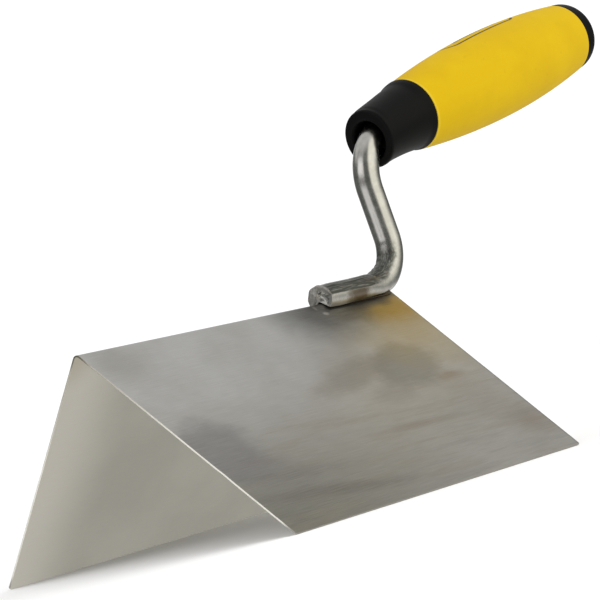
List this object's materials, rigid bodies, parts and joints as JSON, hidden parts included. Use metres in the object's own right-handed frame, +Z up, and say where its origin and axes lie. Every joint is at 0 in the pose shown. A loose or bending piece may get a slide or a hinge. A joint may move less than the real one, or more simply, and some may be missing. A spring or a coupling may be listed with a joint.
{
  "type": "corner trowel",
  "caption": "Hand trowel for plaster corners: a folded sheet blade, a bent bar shank welded along the fold and a two-colour moulded handle.",
  "frame": {"origin": "bottom centre of the whole trowel, on the plane that the blade's two free edges stand on", "axes": "+X along the fold from nose to tail and towards the handle's end, +Y across the blade, +Z up through the fold to the handle"},
  "size_m": [0.2424, 0.1196, 0.139],
  "materials": {
    "blade_steel": "fine brushed stainless sheet",
    "bar_steel": "polished round bar",
    "weld_metal": "heat darkened weld",
    "hard_plastic": "satin moulded black",
    "soft_grip": "matte soft moulded yellow"
  },
  "bodies": {
    "root": {"blade": "blade_steel", "shank": "bar_steel", "weld_bead_left": "weld_metal", "weld_bead_right": "weld_metal", "handle_core": "hard_plastic", "grip_sleeve": "soft_grip", "end_cap": "hard_plastic"}
  },
  "joints": []
}
